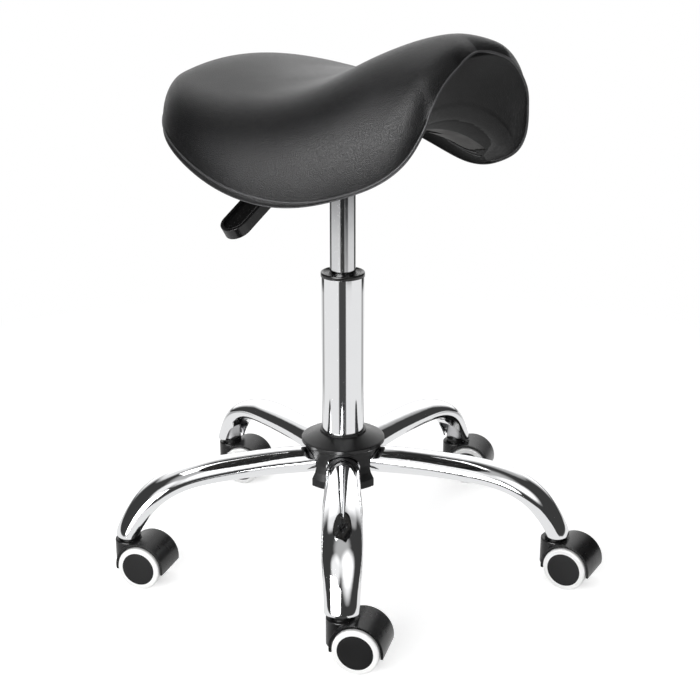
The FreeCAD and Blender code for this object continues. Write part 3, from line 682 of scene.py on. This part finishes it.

# Folds of the hem behind the crease, in the lighter leather whose colour is a painted highlight on each
# fold
FOLD_RADIUS = 0.9
FOLD_DROP = 1.1
FOLD_INSETS = (7.0, 15.0)
FOLD_RUN = (20.0, 87.0, 40)
for index, inset in enumerate(FOLD_INSETS, 1):
    for name, sign in (("left", -1.0), ("right", 1.0)):
        fold_line = []
        for place in np.linspace(*FOLD_RUN):
            half, _ = bottom_row(place)
            across = half[-1, 1] - inset
            height = float(np.interp(across, half[:, 1], half[:, 2])) - FOLD_DROP
            fold_line.append((place, sign * across, height))
        fold = tube(f"seat_hem_fold_{name}_{index}", to_frame(fold_line), FOLD_RADIUS * MM, "seat")
        dress(fold, piping_painted_highlight)

# Dished ring on top of the column, as (radius, height): rounded rim, dish, step and lip round the lift
RING = (
    (15.5, 344.0), (25.6, 344.0), (25.6, 347.9), (25.2, 348.7), (24.3, 349.0), (23.2, 348.8), (22.4, 347.6),
    (20.4, 347.4), (20.1, 347.8), (19.4, 347.8), (19.1, 347.3), (17.6, 347.1), (17.2, 347.9), (16.2, 348.0),
    (15.5, 347.4), (15.5, 344.0))
cap = lathe("column_cap_ring", RING, "base")
dress(cap, cap_plastic)
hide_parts("column_cap")


# Studio: directions are given from the photographed view, turned to the right and raised, in degrees

VIEW_HEADING = 42.0
VIEW_DOWN = 18.87


def heading(turn, rise=0.0):
    """Direction with turn degrees to the right of straight away from the view and rise upwards."""
    view = math.radians(VIEW_HEADING)
    away = Vector((math.cos(view), math.sin(view), 0.0))
    right = Vector((math.sin(view), -math.cos(view), 0.0))
    flat = away * math.cos(math.radians(turn)) + right * math.sin(math.radians(turn))
    return flat * math.cos(math.radians(rise)) + Vector((0.0, 0.0, math.sin(math.radians(rise))))


# Floor: plain and pale, fading to white away from the stool, in metres
FLOOR_REACH = 9.0
FLOOR_COLOUR = (0.86, 0.86, 0.86, 1.0)
FLOOR_LIFT = 0.52
WHITE_FROM, WHITE_BY = 0.45, 1.1
# What the chrome sees in the floor: a white level, dark strips where the studio is open, and less light
# far out on every side but the backdrop's
MIRRORED_LEVEL = 0.92
MIRRORED_LEAST = 0.03
DIM_FROM, DIM_BY, DIM_DEPTH = 1.5, 2.3, 0.8
BACKDROP_INNER, BACKDROP_OUTER = 35.0, 60.0
FloorStrip = namedtuple("FloorStrip", "turn inner outer depth start full")
FLOOR_STRIPS = tuple(FloorStrip(*row) for row in (
    (-178.0, 16.0, 21.0, 0.85, 0.26, 0.34),
    (-52.0, 5.0, 14.0, 0.50, 0.45, 0.60),
    (52.0, 5.0, 14.0, 0.50, 0.45, 0.60),
    (146.0, 8.0, 18.0, 0.55, 1.18, 1.24),
    (-45.0, 6.0, 22.0, 0.70, 1.12, 1.20),
    (42.0, 6.0, 22.0, 0.70, 1.12, 1.20),
))

floor_points = [(x * FLOOR_REACH, y * FLOOR_REACH, 0.0) for x, y in ((-1, -1), (1, -1), (1, 1), (-1, 1))]
floor = add_mesh("floor", floor_points, [(0, 1, 2, 3)], None, smooth=False)
ground = Surface("floor")
ground.put(ground.shader, "Base Color", FLOOR_COLOUR)
ground.put(ground.shader, "Roughness", 0.9)
ground.put(ground.shader, "Specular IOR Level", 0.0)
paths = ground.add("ShaderNodeLightPath")
seen = ground.seen_white(paths)
distance = ground.add("ShaderNodeVectorMath", operation="LENGTH")
ground.link(ground.place(), distance.inputs[0])
outward = ground.add("ShaderNodeVectorMath", operation="NORMALIZE")
ground.link(ground.place(), outward.inputs[0])

lift = ground.add("ShaderNodeEmission")
ground.link(ground.maths("MULTIPLY", seen, FLOOR_LIFT), lift.inputs["Strength"])
lifted = ground.add("ShaderNodeAddShader")
ground.link(ground.shader.outputs[0], lifted.inputs[0])
ground.link(lift.outputs[0], lifted.inputs[1])
white = ground.add("ShaderNodeEmission")
faded = ground.add("ShaderNodeMixShader")
far = ground.span(distance.outputs["Value"], WHITE_FROM, WHITE_BY, 0.0, 1.0)
ground.link(ground.maths("MULTIPLY", far, seen), faded.inputs[0])
ground.link(lifted.outputs[0], faded.inputs[1])
ground.link(white.outputs[0], faded.inputs[2])

backdrop = ground.spot(outward.outputs[0], heading(0.0), BACKDROP_INNER, BACKDROP_OUTER, 1.0)
dim = ground.span(distance.outputs["Value"], DIM_FROM, DIM_BY, 0.0, DIM_DEPTH)
shade = ground.maths("MULTIPLY", ground.maths("SUBTRACT", 1.0, backdrop), dim)
for strip in FLOOR_STRIPS:
    dark = ground.spot(outward.outputs[0], heading(strip.turn), strip.inner, strip.outer, strip.depth)
    reached = ground.span(distance.outputs["Value"], strip.start, strip.full, 0.0, 1.0)
    shade = ground.maths("ADD", shade, ground.maths("MULTIPLY", dark, reached))
mirrored_light = ground.add("ShaderNodeEmission")
level = ground.maths("MAXIMUM", ground.maths("SUBTRACT", MIRRORED_LEVEL, shade), MIRRORED_LEAST)
ground.link(level, mirrored_light.inputs["Strength"])

result = ground.add("ShaderNodeMixShader")
ground.link(paths.outputs["Is Glossy Ray"], result.inputs[0])
ground.link(faded.outputs[0], result.inputs[1])
ground.link(mirrored_light.outputs[0], result.inputs[2])
ground.link(result.outputs[0], ground.output.inputs["Surface"])
floor.data.materials.append(ground.material)

# World: what shines is a dark studio with a bright backdrop and soft boxes over it and over the front
GLOW_LEAST = 0.05
DIFFUSE_LEVEL = 0.5
SoftSpot = namedtuple("SoftSpot", "turn rise inner outer strength")
SOFT_SPOTS = tuple(SoftSpot(*row) for row in (
    (0.0, 6.0, 22.0, 46.0, 1.45),
    (-148.0, 15.0, 12.0, 27.0, 15.0),
    (-30.0, 42.0, 6.0, 18.0, 0.9),
    (28.0, 40.0, 6.0, 16.0, 0.4),
    (-142.0, 50.0, 10.0, 24.0, 1.0),
    (145.0, 50.0, 12.0, 32.0, 1.3),
    (180.0, 84.0, 12.0, 30.0, 0.45),
))

world = bpy.data.worlds.new("studio")
scene.world = world
world.use_nodes = True
studio = Tree(world.node_tree)
background = studio.tree.nodes["Background"]
paths = studio.add("ShaderNodeLightPath")
around = studio.add("ShaderNodeTexCoord").outputs["Generated"]
glow = GLOW_LEAST
for spot in SOFT_SPOTS:
    light = studio.spot(around, heading(spot.turn, spot.rise), spot.inner, spot.outer, spot.strength)
    glow = studio.maths("ADD", light, glow)
shining = studio.maths("MULTIPLY", paths.outputs["Is Glossy Ray"], glow)
spread = studio.maths("MULTIPLY", paths.outputs["Is Diffuse Ray"], DIFFUSE_LEVEL)
total = studio.maths("ADD", studio.maths("ADD", studio.seen_white(paths), shining), spread)
studio.link(total, background.inputs["Strength"])
studio.put(background, "Color", (1.0, 1.0, 1.0, 1.0))


# Lamps, in metres and watts

LAMP_TARGET = Vector((0.0, 0.0, 0.5))


def lamp(name, direction, distance, width, height, power):
    """Soft box in a direction from the target and turned to it."""
    light = bpy.data.lights.new(name, "AREA")
    light.shape = "RECTANGLE"
    light.size = width
    light.size_y = height
    light.energy = power
    item = bpy.data.objects.new(name, light)
    scene.collection.objects.link(item)
    item.location = LAMP_TARGET + direction * distance
    item.rotation_euler = (LAMP_TARGET - item.location).to_track_quat("-Z", "Y").to_euler()


lamp("front_soft", heading(-150.0, 12.0), distance=2.0, width=1.7, height=0.8, power=24.0)
lamp("top_soft", heading(-20.0, 68.0), distance=1.8, width=1.2, height=0.8, power=8.0)

# Camera at the photographed view, in metres
CAMERA_PLACE = (-1.0949, -0.9970, 0.7596)
CAMERA_LENS = 68.71
camera_data = bpy.data.cameras.new("camera")
camera_data.lens = CAMERA_LENS
camera_data.sensor_width = 36.0
camera = bpy.data.objects.new("camera", camera_data)
scene.collection.objects.link(camera)
camera.location = CAMERA_PLACE
camera.rotation_euler = (math.radians(90.0 - VIEW_DOWN), 0.0, math.radians(VIEW_HEADING - 90.0))
scene.camera = camera
scene.view_settings.view_transform = "Standard"
